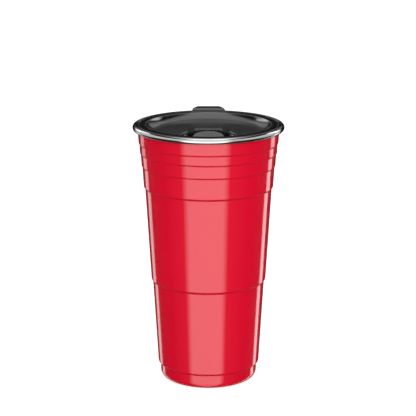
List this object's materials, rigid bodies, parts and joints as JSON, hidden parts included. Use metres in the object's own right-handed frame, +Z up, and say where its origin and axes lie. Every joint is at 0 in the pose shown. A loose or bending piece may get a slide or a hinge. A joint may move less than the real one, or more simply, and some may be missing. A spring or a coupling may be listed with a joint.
{
  "type": "insulated party tumbler",
  "caption": "Party-cup-shaped steel tumbler with stepped painted walls, a rolled bare lip and a press-in lid with a flip-up sip cap and a lift tab.",
  "frame": {"origin": "centre of the ground ring, on the surface that the cup stands on", "axes": "+Z up along the cup's axis, -Y towards the sip cap, +Y towards the lift tab"},
  "size_m": [0.102, 0.105, 0.1795],
  "materials": {
    "red_coat": "smooth glossy red coat over steel",
    "bare_steel": "polished lip, finely turned inside",
    "base_steel": "satin",
    "getter_metal": "sintered",
    "black_plastic": "glossy moulded black",
    "seal_rubber": "matt silicone",
    "cap_plastic": "satin moulded black",
    "stopper_rubber": "matt silicone"
  },
  "bodies": {
    "cup": {"outer_shell": "red_coat", "inner_liner": "bare_steel", "base_plate": "base_steel", "getter_pellet": "getter_metal"},
    "lid": {"lid": "black_plastic", "lid_gasket": "seal_rubber"},
    "cap": {"flip_cap": "cap_plastic", "cap_stopper": "stopper_rubber"}
  },
  "joints": [
    {"name": "lid_lift", "type": "slide", "parent": "cup", "child": "lid", "axis": [0, 0, 1], "range_m": [0, 0.03]},
    {"name": "cap_flip", "type": "hinge", "parent": "lid", "child": "cap", "pos_m": [0, -0.0126, 0.1746], "axis": [-1, 0, 0], "range_deg": [0, 105]}
  ]
}
